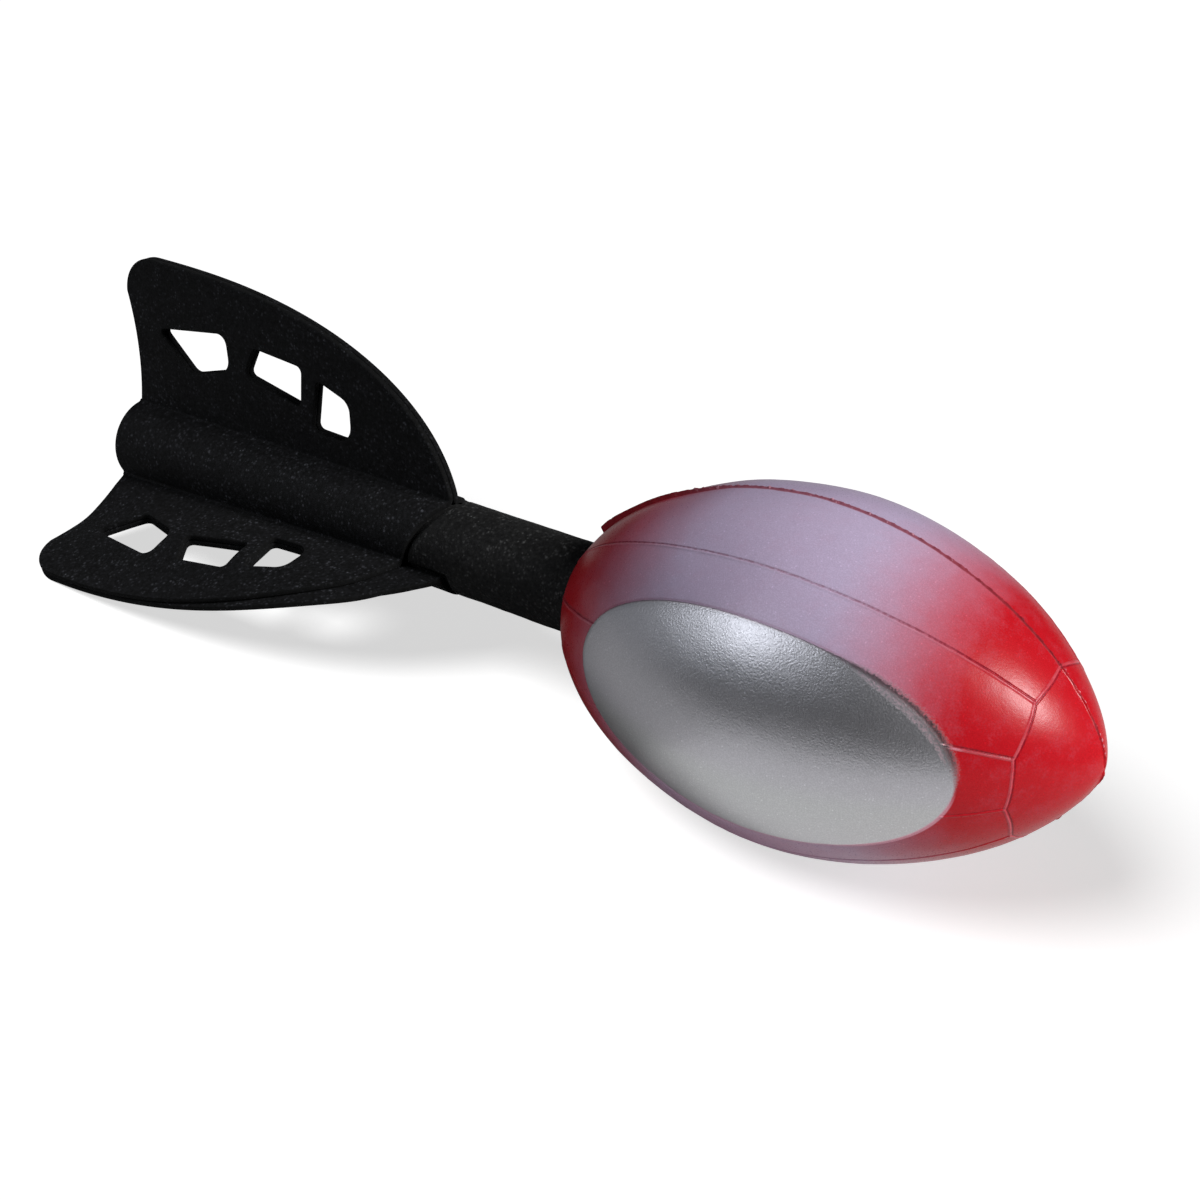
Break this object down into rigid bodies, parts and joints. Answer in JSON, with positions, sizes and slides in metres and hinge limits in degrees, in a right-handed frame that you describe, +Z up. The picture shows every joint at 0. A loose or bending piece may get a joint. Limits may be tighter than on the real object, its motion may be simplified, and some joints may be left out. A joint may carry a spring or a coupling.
{
  "type": "foam throwing rocket",
  "caption": "Foam throwing rocket: a painted ball-shaped foam head on a black foam tube, with broad windowed fins folded from sheet foam at the tail.",
  "frame": {"origin": "on the ground plane below the middle of the bounding box, with the rocket lying at rest on the head's belly and the two lower fins", "axes": "+X towards the nose, along the ground below the rocket's axis, which points slightly up; +Z up, in the plane of the upper fin; +Y to the rocket's left seen from the tail"},
  "size_m": [0.304, 0.102, 0.0872],
  "materials": {
    "head_paint": "sprayed flexible paint on moulded polyurethane foam, satin, red ends fading to silver lilac, silver ovals",
    "boom_foam": "matt closed-cell foam skin",
    "fin_foam": "matt closed-cell sheet foam, finely speckled"
  },
  "bodies": {
    "root": {"head": "head_paint", "boom": "boom_foam", "fin_sheet_left": "fin_foam", "fin_sheet_right": "fin_foam", "fin_sheet_bottom": "fin_foam"}
  },
  "joints": []
}
